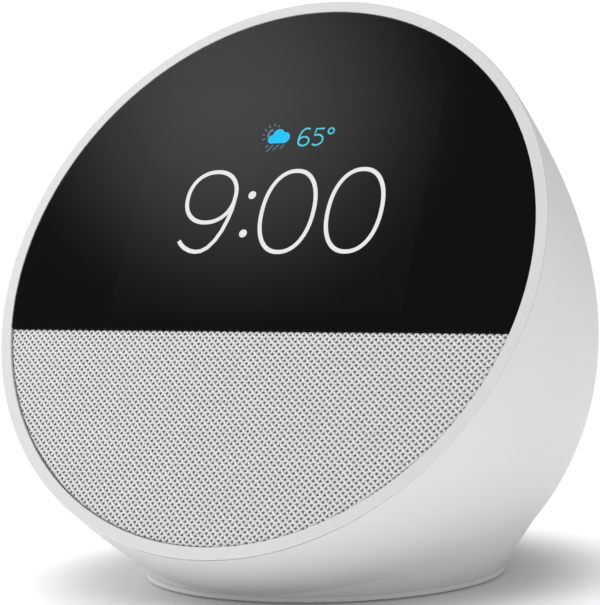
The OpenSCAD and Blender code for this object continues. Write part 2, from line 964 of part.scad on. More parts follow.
module speaker_magnet() {
  color([0.2, 0.2, 0.2])
    in_speaker()
      translate([0, 0, magnet_back])
        difference() {
          cylinder(h = magnet_t, r = magnet_r, $fn = round_fn);
          translate([0, 0, -1])
            cylinder(h = magnet_t + 2, r = magnet_gap + 1, $fn = round_fn);
        }
}

module speaker_yoke() {
  color("gray")
    in_speaker()
      translate([0, 0, magnet_back - yoke_t]) {
        cylinder(h = yoke_t, r = magnet_r - 1, $fn = round_fn);
        cylinder(h = yoke_t + magnet_t + top_plate_t, r = pole_r, $fn = round_fn);
      }
}

module speaker_screws() {
  color("silver")
    in_speaker()
      for (a = speaker_screw_angles)
        rotate([0, 0, a])
          translate([speaker_screw_at, 0, flange_back])
            rotate([180, 0, 0])
              screw(flange_t + surround_t + gasket_t + speaker_screw_bite);
}

module speaker_leads() {
  color("red")
    in_face()
      for (side = [-1, 1])
        wire([
          [side * 1.8, terminal_y, flange_back],
          [side * 1.8, terminal_y, board_back - 1],
          [side * 1.8, board_low + 2, board_back - 2.6],
          [side * 1.8, connector_y, board_back - 2.6]
        ], 1);
}

/* Electronics */

module main_board() {
  color("darkgreen")
    in_face()
      difference() {
        translate([-board_w / 2, board_low, board_back])
          cube([board_w, board_h, board_t]);
        for (side = [-1, 1], y = board_hole_y)
          translate([side * board_hole_x, y, board_back - 1])
            cylinder(h = board_t + 2, r = screw_d / 2 + screw_clear, $fn = small_fn);
      }
}

module board_screws() {
  color("silver")
    in_face()
      for (side = [-1, 1], y = board_hole_y)
        translate([side * board_hole_x, y, board_back])
          rotate([180, 0, 0])
            screw(screw_l - 1);
}

// The two shielded areas of the board: middle x, middle y above the board's lower edge, width and height
shield_areas = [[-12.5, 21, 19, 19], [11.5, 21, 19, 19]];

module shield_cans() {
  color("silver")
    in_face()
      for (s = shield_areas)
        translate([s[0] - s[2] / 2, board_low + s[1] - s[3] / 2, board_back - shield_t])
          difference() {
            cube([s[2], s[3], shield_t]);
            translate([0.3, 0.3, 0.3])
              cube([s[2] - 0.6, s[3] - 0.6, shield_t]);
          }
}

module thermal_pads() {
  color("lightblue")
    in_face()
      for (s = shield_areas)
        translate([s[0] - s[2] / 2 + 3, board_low + s[1] - s[3] / 2 + 3, board_back - shield_t - pad_t])
          cube([s[2] - 6, s[3] - 6, pad_t]);
}

module heat_spreader() {
  color("darkgray")
    in_face()
      translate([-board_w / 2 + 7, board_low + 10.5, board_back - shield_t - pad_t - spreader_t])
        cube([board_w - 14, board_h - 16.5, spreader_t]);
}

module board_connectors() {
  color("ivory")
    in_face() {
      for (x = [0, power_connector_x])
        translate([x - connector_w / 2, connector_y, board_back - connector_h])
          cube([connector_w, connector_l, connector_h]);
      translate([button_flex_x - connector_w / 2, button_connector_y, board_back - connector_low_h])
        cube([connector_w, connector_l, connector_low_h]);
      translate([-flex_x - flex_w / 2 - 1, flex_end_y - connector_l / 2, board_front])
        cube([flex_w + 2, connector_l, connector_low_h]);
    }
}

module power_board() {
  color("darkgreen")
    difference() {
      translate([-power_board_w / 2, jack_front - power_board_l, power_board_top - board_t])
        cube([power_board_w, power_board_l - 0.5, board_t]);
      for (side = [-1, 1])
        translate([side * power_post_x, power_post_y, power_board_top - board_t - 1])
          cylinder(h = board_t + 2, r = screw_d / 2 + screw_clear, $fn = small_fn);
    }
}

module power_jack() {
  color([0.08, 0.08, 0.08])
    translate([0, jack_front, socket_h])
      rotate([-90, 0, 0]) {
        difference() {
          translate([-jack_w / 2, -jack_w / 2, -jack_l])
            cube([jack_w, jack_w, jack_l]);
          translate([0, 0, -jack_hole_l])
            cylinder(h = jack_hole_l + 1, d = socket_d, $fn = small_fn);
        }
        translate([0, 0, -jack_hole_l - 0.5])
          cylinder(h = jack_hole_l, d = socket_pin_d, $fn = small_fn);
      }
}

module power_screws() {
  color("silver")
    for (side = [-1, 1])
      translate([side * power_post_x, power_post_y, power_board_top])
        screw(screw_l - 0.5);
}

module power_leads() {
  start_y = jack_front - power_board_l + 1.2;
  plug_out = board_back - connector_h / 2;
  ends = [face_point(connector_y - 4, plug_out - 1.5), face_point(connector_y - 2, plug_out),
    face_point(connector_y, plug_out)];
  color("black")
    for (i = [0, 1]) {
      x = power_connector_x + 2 * i - 1;
      wire(concat(
        [
          [9 + 2 * i, start_y, power_board_top],
          [9 + 2 * i, start_y, power_board_top + 3]
        ],
        [for (e = ends) [x, e[0], e[1]]]
      ), 1.1);
    }
}

/* Buttons, in their own frame on the shell */

// The shell's form seen from the buttons' frame cuts a round blank to the shell's curve
module button(x) {
  intersection() {
    in_buttons()
      translate([x, 0, flange_back_z])
        cylinder(h = far / 8, r = button_r, $fn = small_fn);
    round_form(-button_proud);
  }
  intersection() {
    in_buttons()
      translate([x, 0, flange_back_z])
        cylinder(h = far / 8, r = button_r + flange_w, $fn = small_fn);
    round_form(wall + flange_gap);
  }
  in_buttons()
    translate([x, 0, switch_top - switch_well + button_travel + 0.1])
      cylinder(h = flange_back_z - switch_top + switch_well, r = stem_r, $fn = small_fn);
}

module volume_down_button() {
  color("white")
    button(button_x[0]);
}

module mic_off_button() {
  color("white")
    button(button_x[1]);
}

module volume_up_button() {
  color("white")
    button(button_x[2]);
}

module button_board() {
  color("darkgreen")
    in_buttons()
      difference() {
        translate([-button_board_w / 2, -button_board_l / 2, -board_sink - board_t])
          cube([button_board_w, button_board_l, board_t]);
        for (side = [-1, 1])
          translate([side * button_screw_x, 0, -board_sink - board_t - 1])
            cylinder(h = board_t + 2, r = screw_d / 2 + screw_clear, $fn = small_fn);
      }
}

module button_board_screws() {
  color("silver")
    in_buttons()
      for (side = [-1, 1])
        translate([side * button_screw_x, 0, -board_sink - board_t])
          rotate([180, 0, 0]) {
            cylinder(h = screw_head_h, d = screw_head_d, $fn = small_fn);
            translate([0, 0, -board_t - 2.4])
              cylinder(h = board_t + 2.4, d = screw_d - 0.6, $fn = small_fn);
          }
}

module button_switches() {
  color("gray")
    in_buttons()
      for (x = button_x)
        translate([x, 0, -board_sink])
          difference() {
            translate([-switch_w / 2, -switch_w / 2, 0])
              cube([switch_w, switch_w, switch_h]);
            translate([0, 0, switch_h - switch_well])
              cylinder(h = switch_h, r = switch_well_r, $fn = small_fn);
          }
}

module microphones() {
  color("silver")
    in_buttons()
      for (side = [-1, 1])
        translate([side * mic_x - 1.2, -1.7, -board_sink])
          cube([2.4, 3.4, 1]);
}

module microphone_boots() {
  color("black")
    difference() {
      intersection() {
        in_buttons()
          for (side = [-1, 1])
            translate([side * mic_x, 0, -board_sink + 1])
              cylinder(h = board_sink, r = mic_boot_r, $fn = small_fn);
        round_form(wall + 0.1);
      }
      in_buttons()
        for (side = [-1, 1])
          translate([side * mic_x, 0, -board_sink])
            cylinder(h = board_sink, r = mic_hole_r, $fn = small_fn);
    }
}

module button_flex() {
  under = -board_sink - board_t - flex_t / 2;
  plug_out = board_back - connector_low_h / 2;
  plug_up = button_connector_y + connector_l;
  color("orange")
    ribbon(button_flex_x, [
      button_point(1, under),
      button_point(-4.5, under),
      button_point(-6, under - 1.2),
      face_point(plug_up + 3.2, plug_out - 1.5),
      face_point(plug_up + 2, plug_out),
      face_point(plug_up, plug_out)
    ], connector_w - 2, flex_t);
}

rear_housing();
front_bezel();
base_plate();
foot_pads();
base_screws();
inner_frame();
frame_screws();
housing_screws();
cover_glass();
glass_adhesive();
touch_sensor();
lcd_panel();
backlight();
display_flex();
grille_carrier();
grille_fabric();
speaker_basket();
speaker_gasket();
speaker_surround();
speaker_cone();
dust_cap();
voice_coil();
speaker_spider();
speaker_top_plate();
speaker_magnet();
speaker_yoke();
speaker_screws();
speaker_leads();
main_board();
board_screws();
shield_cans();
thermal_pads();
heat_spreader();
board_connectors();
power_board();
power_jack();
power_screws();
power_leads();
button_board();
button_board_screws();
button_switches();
microphones();
microphone_boots();
button_flex();
volume_down_button();
mic_off_button();
volume_up_button();
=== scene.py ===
import bpy
import bmesh
import json
from math import sin, cos, pi, radians, sqrt, hypot
from mathutils import Matrix, Vector
from mathutils.bvhtree import BVHTree


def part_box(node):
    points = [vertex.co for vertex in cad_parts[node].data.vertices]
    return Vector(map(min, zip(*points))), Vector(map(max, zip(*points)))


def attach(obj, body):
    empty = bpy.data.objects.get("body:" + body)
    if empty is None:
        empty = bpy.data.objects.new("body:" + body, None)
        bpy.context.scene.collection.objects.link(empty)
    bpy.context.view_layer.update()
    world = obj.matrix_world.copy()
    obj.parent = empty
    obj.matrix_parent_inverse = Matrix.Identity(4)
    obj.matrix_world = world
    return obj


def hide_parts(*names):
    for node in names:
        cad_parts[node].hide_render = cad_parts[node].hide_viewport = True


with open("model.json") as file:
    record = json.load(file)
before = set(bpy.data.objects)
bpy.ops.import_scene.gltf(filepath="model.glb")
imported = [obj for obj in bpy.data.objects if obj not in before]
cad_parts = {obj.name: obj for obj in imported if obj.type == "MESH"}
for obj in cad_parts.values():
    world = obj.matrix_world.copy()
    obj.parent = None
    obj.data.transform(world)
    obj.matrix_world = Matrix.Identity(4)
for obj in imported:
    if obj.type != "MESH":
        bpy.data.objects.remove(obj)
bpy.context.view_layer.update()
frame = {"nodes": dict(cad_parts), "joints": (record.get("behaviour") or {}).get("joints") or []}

mm = 0.001

# --- The face's own frame ---
# Everything in front is measured on the leaning face: across, up along it, and out of it.
# The speaker's cone moves straight out of the face, so its joint gives the lean.
out_of_face = Vector(next(j for j in frame["joints"] if j["name"] == "cone_stroke")["axis"]).normalized()
up_face = Vector((0, out_of_face.z, -out_of_face.y))
ring_low, ring_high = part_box("front_bezel")
ring_r = (ring_high[0] - ring_low[0]) / 2
rim_edge = 0.15 * mm
face_middle = Vector((
    0,
    ring_low[1] + (ring_r - rim_edge) * up_face.y,
    ring_high[2] - ring_r * up_face.z + rim_edge * out_of_face.z,
))
face_frame = Matrix((
    (1, up_face.x, out_of_face.x, face_middle.x),
    (0, up_face.y, out_of_face.y, face_middle.y),
    (0, up_face.z, out_of_face.z, face_middle.z),
    (0, 0, 0, 1),
))

# --- Camera ---
# It stands to the right of the face and a little above its middle, turned very slightly about its own axis.
aim = face_middle + Vector((8.51, 0, -6.69)) * mm
turn, rise, tip, stand_off = radians(29.89), radians(2.72), radians(-1.50), 386.6 * mm
back = Vector((sin(turn) * cos(rise), -cos(turn) * cos(rise), sin(rise)))
level = Vector((cos(turn), sin(turn), 0))
upright = back.cross(level)
right = level * cos(tip) + upright * sin(tip)
top = -level * sin(tip) + upright * cos(tip)
lens = bpy.data.cameras.new("camera")
lens.sensor_width = 36
lens.lens = 2129.5 * 36 / 605
lens.clip_start, lens.clip_end = 0.01, 20
camera = bpy.data.objects.new("camera", lens)
place = aim + back * stand_off
camera.matrix_world = Matrix((
    (right.x, top.x, back.x, place.x),
    (right.y, top.y, back.y, place.y),
    (right.z, top.z, back.z, place.z),
    (0, 0, 0, 1),
))
bpy.context.scene.collection.objects.link(camera)
bpy.context.scene.camera = camera


# --- Rear housing ---
# One round shell, moulded in matt off-white plastic with a fine even spark texture from the tool.
# Its skirt stands on the base plate, and the face ring sits in its front edge.
class Finish:
    """A value on its way through a material: sums on it add the nodes that work them out."""

    def __init__(self, tree, socket=None):
        self.tree, self.socket = tree, socket

    def feed(self, target, value):
        if isinstance(value, Finish):
            self.tree.links.new(value.socket, target)
        else:
            target.default_value = value

    def node(self, kind, settings=None, inputs=None, out=0):
        made = self.tree.nodes.new(kind)
        for name, value in (settings or {}).items():
            if name == "stops":
                for i, (at, shade) in enumerate(value):
                    stop = made.color_ramp.elements[i] if i < 2 else made.color_ramp.elements.new(at)
                    stop.position, stop.color = at, shade
            else:
                setattr(made, name, value)
        for name, value in (inputs or {}).items():
            self.feed(made.inputs[name], value)
        return Finish(self.tree, made.outputs[out])

    def sum(self, operation, a, b):
        return self.node("ShaderNodeMath", {"operation": operation}, {0: a, 1: b})

    def __add__(self, other): return self.sum("ADD", self, other)
    def __radd__(self, other): return self.sum("ADD", other, self)
    def __sub__(self, other): return self.sum("SUBTRACT", self, other)
    def __rsub__(self, other): return self.sum("SUBTRACT", other, self)
    def __mul__(self, other): return self.sum("MULTIPLY", self, other)
    def __rmul__(self, other): return self.sum("MULTIPLY", other, self)


def new_finish(name, **fixed):
    """A material whose shader has these constants: gives it, its shader and the object coordinates."""
    material = bpy.data.materials.new(name)
    material.use_nodes = True
    shader = material.node_tree.nodes["Principled BSDF"]
    for socket, value in fixed.items():
        shader.inputs[socket.replace("_", " ")].default_value = value
    where = Finish(material.node_tree).node("ShaderNodeTexCoord", out=3)
    return material, shader, where


def between(factor, low, high):
    """The colour that lies between two others at a factor from 0 to 1."""
    return factor.node("ShaderNodeMix", {"data_type": "RGBA"}, {0: factor, 6: (*low, 1), 7: (*high, 1)}, out=2)


def scaled(colour, by):
    """A colour made lighter or darker."""
    return [min(1, c * by) for c in colour]


def moulded(name, colour, rough, grain=0.35, grain_size=0.25, unevenness=0.03, **fixed):
    """Moulded plastic: a fine spark texture, and a colour and gloss that drift very slightly."""
    material, shader, where = new_finish(name, **fixed)
    drift = where.node("ShaderNodeTexNoise", None, {"Vector": where, "Scale": 60.0, "Detail": 3.0})
    spark = where.node("ShaderNodeTexNoise", None,
                       {"Vector": where, "Scale": 1 / (grain_size * mm), "Detail": 2.0})
    tone = between(drift, scaled(colour, 1 - unevenness), scaled(colour, 1 + unevenness))
    where.feed(shader.inputs["Base Color"], tone)
    where.feed(shader.inputs["Roughness"], rough - 0.04 + drift * 0.04 + spark * 0.04)
    bump = where.node("ShaderNodeBump", None, {"Strength": grain, "Distance": 0.02 * mm, "Height": spark})
    where.feed(shader.inputs["Normal"], bump)
    return material


def dress(node, material):
    """Gives a CAD node its finish."""
    solid = frame["nodes"][node]
    for slot in solid.material_slots:
        slot.material = material


def add_piece(name, mesh, material, body="casing"):
    """A finished mesh as a piece that rides on a body."""
    piece = bpy.data.objects.new(name, mesh)
    mesh.name = name
    mesh.materials.clear()
    mesh.materials.append(material)
    bpy.context.scene.collection.objects.link(piece)
    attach(piece, body)
    return piece


def smooth_copy(node, name, material, body="casing", sharp=28):
    """A CAD node's own solid, welded so that its curved faces shade as one smooth surface."""
    shape = bmesh.new()
    shape.from_mesh(frame["nodes"][node].data)
    bmesh.ops.remove_doubles(shape, verts=shape.verts, dist=1e-6)
    for face in shape.faces:
        face.smooth = True
    for edge in shape.edges:
        edge.smooth = len(edge.link_faces) == 2 and edge.calc_face_angle(0) < radians(sharp)
    mesh = bpy.data.meshes.new(name)
    shape.to_mesh(mesh)
    shape.free()
    piece = add_piece(name, mesh, material, body)
    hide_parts(node)
    return piece


shell_white = moulded("shell_white", (0.78, 0.80, 0.795), 0.46, Specular_IOR_Level=0.4)
smooth_copy("rear_housing", "shell", shell_white, sharp=20)

# --- Base plate and pads ---
# A flat moulded plate closes the bottom. Its edge shows as a thin lip under the skirt, and low rubber pads keep it
# off the table.
plate_white = moulded("plate_white", (0.76, 0.78, 0.775), 0.52, grain_size=0.35)
smooth_copy("base_plate", "bottom_plate", plate_white)


def rubber(name, colour, rough=0.75):
    """Soft rubber: matt, with a dusty bloom."""
    material, shader, where = new_finish(name, Specular_IOR_Level=0.3)
    bloom = where.node("ShaderNodeTexNoise", None, {"Vector": where, "Scale": 900.0, "Detail": 4.0})
    tone = between(bloom, scaled(colour, 0.85), scaled(colour, 1.2))
    where.feed(shader.inputs["Base Color"], tone)
    where.feed(shader.inputs["Roughness"], rough - 0.1 + bloom * 0.2)
    where.feed(shader.inputs["Normal"],
               where.node("ShaderNodeBump", None, {"Strength": 0.3, "Distance": 0.02 * mm, "Height": bloom}))
    return material


pad_grey = rubber("pad_grey", (0.42, 0.43, 0.43))
dress("foot_pads", pad_grey)


def turned_metal(name, colour, rough, brush=9000.0, **fixed):
    """Metal with fine working marks."""
    material, shader, where = new_finish(name, Metallic=1.0, **fixed)
    marks = where.node("ShaderNodeTexNoise", None, {"Vector": where, "Scale": brush, "Detail": 3.0})
    stain = where.node("ShaderNodeTexNoise", None, {"Vector": where, "Scale": 220.0, "Detail": 2.0})
    tone = between(stain, scaled(colour, 0.88), scaled(colour, 1.08))
    where.feed(shader.inputs["Base Color"], tone)
    where.feed(shader.inputs["Roughness"], rough + marks * 0.15)
    where.feed(shader.inputs["Normal"],
               where.node("ShaderNodeBump", None, {"Strength": 0.2, "Distance": 0.01 * mm, "Height": marks}))
    return material


screw_zinc = turned_metal("screw_zinc", (0.62, 0.63, 0.66), 0.3)
for node in ("base_screws", "frame_screws", "housing_screws", "speaker_screws", "board_screws", "power_screws",
             "button_board_screws"):
    dress(node, screw_zinc)

# --- Inner frame ---
# A dark grey moulded plate carries the glass, the boards and the speaker.
dress("inner_frame", moulded("frame_grey", (0.11, 0.115, 0.12), 0.55, grain_size=0.4))

# --- Speaker ---
# A pressed basket holds the ring magnet between steel plates; the paper cone hangs in a rubber surround and a
# stiffened cloth spider, with a copper coil on its neck.
dress("speaker_basket", turned_metal("basket_black", (0.03, 0.03, 0.033), 0.45))
plate_zinc = turned_metal("plate_zinc", (0.55, 0.56, 0.58), 0.32)
dress("speaker_top_plate", plate_zinc)
dress("speaker_yoke", plate_zinc)
dress("speaker_magnet", moulded("ferrite", (0.035, 0.035, 0.038), 0.5, grain=0.6, grain_size=0.5))
dress("speaker_gasket", rubber("gasket_foam", (0.025, 0.025, 0.025), 0.85))
dress("speaker_surround", rubber("surround_rubber", (0.02, 0.02, 0.02), 0.55))
cone_paper = moulded("cone_paper", (0.035, 0.035, 0.038), 0.7, grain=0.8, grain_size=0.3)
dress("speaker_cone", cone_paper)
dress("dust_cap", cone_paper)
dress("voice_coil", turned_metal("coil_copper", (0.78, 0.36, 0.18), 0.25))
dress("speaker_spider", moulded("spider_cloth", (0.45, 0.3, 0.12), 0.8, grain=0.9, grain_size=0.35))

# --- Boards, connectors, ribbons and leads ---
# The main board with its shield cans and heat spreader, the power board behind and the button board on top.
board_green = moulded("board_green", (0.012, 0.09, 0.045), 0.35, grain=0.25, grain_size=0.6, unevenness=0.1)
for node in ("main_board", "power_board", "button_board"):
    dress(node, board_green)
can_tin = turned_metal("can_tin", (0.7, 0.7, 0.69), 0.28)
dress("shield_cans", can_tin)
dress("microphones", can_tin)
dress("heat_spreader", turned_metal("spreader_aluminium", (0.75, 0.76, 0.78), 0.35))
dress("thermal_pads", rubber("thermal_blue", (0.2, 0.32, 0.45)))
dress("board_connectors", moulded("connector_ivory", (0.62, 0.57, 0.45), 0.5))
ribbon_amber = moulded("ribbon_amber", (0.45, 0.17, 0.03), 0.3, grain=0.15, grain_size=0.8)
dress("display_flex", ribbon_amber)
dress("button_flex", ribbon_amber)
dress("speaker_leads", rubber("lead_red", (0.35, 0.02, 0.015), 0.5))
dress("power_leads", rubber("lead_black", (0.02, 0.02, 0.02), 0.5))
dress("button_switches", moulded("switch_grey", (0.1, 0.1, 0.105), 0.45))
dress("microphone_boots", rubber("boot_black", (0.02, 0.02, 0.02)))

# --- Power socket ---
# A black moulded socket with a metal centre pin stands behind the round recess at the lower back.
dress("power_jack", moulded("jack_black", (0.012, 0.012, 0.013), 0.38))

# --- Face ring ---
# A flat white ring frames the glass and the grille. It is moulded in the same plastic as the shell.
ring_white = moulded("ring_white", (0.80, 0.815, 0.81), 0.5)
smooth_copy("front_bezel", "ring", ring_white)

# --- Glass and screen ---
# Black-printed cover glass, polished, with the screen bonded behind it. The screen's own window shows as a very
# slightly different black.
window_w, window_h, window_up = 62 * mm, 46.5 * mm, 14 * mm
glass_black, shader, where = new_finish("glass_black", IOR=1.5, Specular_IOR_Level=0.5)
on_face = where.node("ShaderNodeVectorMath", {"operation": "SUBTRACT"}, {0: where, 1: face_middle})
across, along = (where.node("ShaderNodeVectorMath", {"operation": "DOT_PRODUCT"}, {0: on_face, 1: way}, out=1)
                 for way in ((1, 0, 0), up_face))
off_x = where.node("ShaderNodeMath", {"operation": "ABSOLUTE"}, {0: across})
off_y = where.node("ShaderNodeMath", {"operation": "ABSOLUTE"}, {0: along - window_up})
inside = (where.sum("LESS_THAN", off_x, window_w / 2) * where.sum("LESS_THAN", off_y, window_h / 2))
smudge = where.node("ShaderNodeTexNoise", None, {"Vector": where, "Scale": 45.0, "Detail": 4.0})
tone = between(inside, (0.0035, 0.0035, 0.0037), (0.0052, 0.0052, 0.0055))
where.feed(shader.inputs["Base Color"], tone)
where.feed(shader.inputs["Roughness"], 0.03 + smudge * 0.02)
dress("cover_glass", glass_black)
dress("glass_adhesive", rubber("tape_black", (0.015, 0.015, 0.015), 0.85))
film = moulded("film_black", (0.01, 0.01, 0.012), 0.2, grain=0.05)
dress("touch_sensor", film)
dress("lcd_panel", film)
dress("backlight", moulded("backlight_white", (0.6, 0.6, 0.6), 0.5))

# --- Lit figures on the screen ---
# The clock's thin figures and the small weather sign shine through the glass. Each stroke is a very flat bead just
# proud of it.
glass_top = -0.1 * mm
bead_rise = 0.03


def glow(name, colour, strength):
    """Light from the screen: an even colour with the faint unevenness of its pixels."""
    material, shader, where = new_finish(name, Roughness=0.4, Emission_Strength=strength)
    cells = where.node("ShaderNodeTexNoise", None, {"Vector": where, "Scale": 4000.0, "Detail": 1.0})
    tone = between(cells, scaled(colour, 0.96), scaled(colour, 1.04))
    shader.inputs["Base Color"].default_value = (0.02, 0.02, 0.02, 1)
    where.feed(shader.inputs["Emission Color"], tone)
    return material


def oval(x, y, rx, ry, power=2.0, start=0.0, end=360.0, steps=64):
    """Points round a rounded oval between two angles."""
    points = []
    for i in range(steps + 1):
        a = radians(start + (end - start) * i / steps)
        c, s = cos(a), sin(a)
        points.append((x + rx * abs(c) ** (2 / power) * (1 if c >= 0 else -1),
                       y + ry * abs(s) ** (2 / power) * (1 if s >= 0 else -1)))
    return points


def draw_strokes(name, strokes, roundness):
    """Round strokes of (points, width, closed) in the plane z = 0, as one bmesh."""
    shape = bmesh.new()
    for points, width, closed in strokes:
        line = bpy.data.curves.new(name, "CURVE")
        line.dimensions = "3D"
        line.bevel_depth = width / 2 * mm
        line.bevel_resolution = roundness
        line.use_fill_caps = not closed
        path = line.splines.new("POLY")
        use = points[:-1] if closed else points
        path.points.add(len(use) - 1)
        for point, (x, y) in zip(path.points, use):
            point.co = (x * mm, y * mm, 0, 1)
        path.use_cyclic_u = closed
        holder = bpy.data.objects.new(name, line)
        bpy.context.scene.collection.objects.link(holder)
        bead = bpy.data.meshes.new_from_object(holder.evaluated_get(bpy.context.evaluated_depsgraph_get()))
        bpy.data.objects.remove(holder)
        shape.from_mesh(bead)
    return shape


def beads(name, strokes, material, level=glass_top):
    """Flat beads along strokes of (points, width, closed), in millimetres on the face."""
    shape = draw_strokes(name, strokes, 2)
    for vert in shape.verts:
        vert.co.z = level + max(0, vert.co.z) * bead_rise + 0.005 * mm * (vert.co.z > -1e-7)
    bmesh.ops.recalc_face_normals(shape, faces=shape.faces)
    for face in shape.faces:
        face.smooth = True
    mesh = bpy.data.meshes.new(name)
    shape.to_mesh(mesh)
    shape.free()
    mesh.transform(face_frame)
    return add_piece(name, mesh, material)


clock_white = glow("clock_white", (0.8, 0.8, 0.8), 1.0)
stroke_w = 0.84
nine_tail = [(-8.85, 14.6), (-8.82, 13.4), (-8.95, 11.6), (-9.35, 9.6), (-10.05, 7.4), (-11.0, 5.5), (-12.3, 3.95),
              (-13.6, 3.25), (-14.8, 3.12), (-16.1, 3.35), (-17.4, 3.95), (-18.3, 4.65), (-19.0, 5.45)]
beads("clock_figures", [
    (oval(-14.1, 14.6, 5.3, 5.35, 2.15), stroke_w, True),
    (nine_tail, stroke_w, False),
    (oval(3.3, 11.25, 5.52, 8.38, 2.2), stroke_w, True),
    (oval(17.37, 11.17, 5.52, 8.38, 2.2), stroke_w, True),
    (oval(-5.2, 14.8, 0.4, 0.4), 0.85, True),
    (oval(-5.2, 6.8, 0.4, 0.4), 0.85, True),
], clock_white)

sky_blue = glow("sky_blue", (0.05, 0.62, 0.75), 1.0)
beads("weather_figures", [
    (oval(3.17, 25.9, 1.1, 0.93, 2.1), 0.36, True),
    ([(4.1, 28.45), (3.6, 28.62), (3.05, 28.55), (2.5, 28.1), (2.15, 27.3), (2.02, 26.4), (2.08, 25.8)], 0.36, False),
    ([(7.15, 28.45), (5.45, 28.45), (5.3, 27.05), (5.9, 27.2), (6.5, 27.1), (7.05, 26.7), (7.25, 26.1), (7.05, 25.45),
      (6.5, 25.05), (5.85, 24.95), (5.15, 25.2)], 0.36, False),
    (oval(8.67, 27.87, 0.6, 0.6), 0.3, True),
], sky_blue)
cloud_blue = glow("cloud_blue", (0.0, 0.53, 1.0), 1.0)
beads("cloud", [
    (oval(-3.8, 26.6, 0.44, 0.44), 0.92, True),
    (oval(-2.58, 27.5, 0.6, 0.6), 1.25, True),
    (oval(-1.2, 26.85, 0.58, 0.58), 1.2, True),
    ([(-3.8, 26.35), (-1.2, 26.35)], 1.3, False),
    ([(-3.4, 26.9), (-1.6, 26.9)], 1.2, False),
], cloud_blue)
dim_blue = glow("dim_blue", (0.1, 0.2, 0.25), 1.0)
beads("sun_and_rain", [
    (oval(-3.9, 27.65, 0.95, 0.95, 2.0, 95, 235, 16), 0.5, False),
    ([(-6.2, 27.7), (-5.65, 27.62)], 0.25, False),
    ([(-5.95, 26.55), (-5.4, 26.8)], 0.25, False),
    ([(-5.9, 28.8), (-5.4, 28.45)], 0.25, False),
    ([(-5.1, 29.65), (-4.8, 29.15)], 0.25, False),
    ([(-3.95, 29.95), (-3.87, 29.4)], 0.25, False),
    ([(-2.85, 29.6), (-3.1, 29.15)], 0.25, False),
    ([(-4.85, 24.85), (-4.4, 25.35)], 0.25, False),
    ([(-4.45, 23.95), (-3.3, 25.35)], 0.25, False),
    ([(-3.15, 24.2), (-2.0, 25.35)], 0.25, False),
    ([(-1.65, 24.5), (-0.85, 25.35)], 0.25, False),
], dim_blue)

# --- Grille ---
# White yarn netted over a perforated plate: two sets of threads cross at a slant, over and under, round small
# dark openings. The net wraps over the plate's edges.
dress("grille_carrier", moulded("carrier_grey", (0.34, 0.35, 0.35), 0.7, grain_size=0.5))
net_pitch, net_row = 1.4 * mm, 0.62 * mm
yarn_w, yarn_t = 0.25 * mm, 0.17 * mm
weave = 0.11 * mm
net_middle = -0.45 * mm
net_r = ring_r - 2.5 * mm
net_top = -12.95 * mm
net_bottom = -net_r
wrap = 0.45 * mm

yarn_white, shader, where = new_finish("yarn_white", Sheen_Weight=0.2, Specular_IOR_Level=0.2)
fuzz = where.node("ShaderNodeTexNoise", None, {"Vector": where, "Scale": 9000.0, "Detail": 2.0})
patch = where.node("ShaderNodeTexNoise", None, {"Vector": where, "Scale": 250.0, "Detail": 3.0})
tone = between(fuzz * 0.6 + patch * 0.4, (0.80, 0.81, 0.805), (0.93, 0.935, 0.93))
where.feed(shader.inputs["Base Color"], tone)
where.feed(shader.inputs["Roughness"], 0.8 + fuzz * 0.15)
where.feed(shader.inputs["Normal"],
           where.node("ShaderNodeBump", None, {"Strength": 0.5, "Distance": 0.03 * mm, "Height": fuzz}))


def net_threads(name, side):
    """All threads that slant one way (side 1 or -1), as one sheet that cut_net later cuts to the grille's outline."""
    step = Vector((net_pitch / 2 * side, net_row, 0))
    length = step.length
    way = step.normalized()
    across_way = Vector((-way.y, way.x, 0))
    sides, stations = 5, 6
    shape = bmesh.new()
    start = bmesh.ops.create_circle(shape, cap_ends=False, segments=sides, radius=1)["verts"]
    for vert in start:
        a, b = vert.co.x, vert.co.y
        vert.co = across_way * a * yarn_w + Vector((0, 0, b * yarn_t + weave * side))
    edges = shape.edges[:]
    for i in range(1, stations + 1):
        grown = bmesh.ops.extrude_edge_only(shape, edges=edges)["geom"]
        verts = [g for g in grown if isinstance(g, bmesh.types.BMVert)]
        edges = [g for g in grown if isinstance(g, bmesh.types.BMEdge)]
        lift = weave * side * (cos(2 * pi * i / stations) - cos(2 * pi * (i - 1) / stations))
        bmesh.ops.translate(shape, verts=verts, vec=way * (2 * length / stations) + Vector((0, 0, lift)))
    # one period runs over one crossing and under the next; doubling it makes a long thread, then a sheet of them
    for count, stride in ((6, step * 2), (7, Vector((net_pitch, 0, 0)))):
        for i in range(count):
            copy = bmesh.ops.duplicate(shape, geom=shape.verts[:] + shape.edges[:] + shape.faces[:])["geom"]
            verts = [g for g in copy if isinstance(g, bmesh.types.BMVert)]
            bmesh.ops.translate(shape, verts=verts, vec=stride * 2 ** i)
    return shape


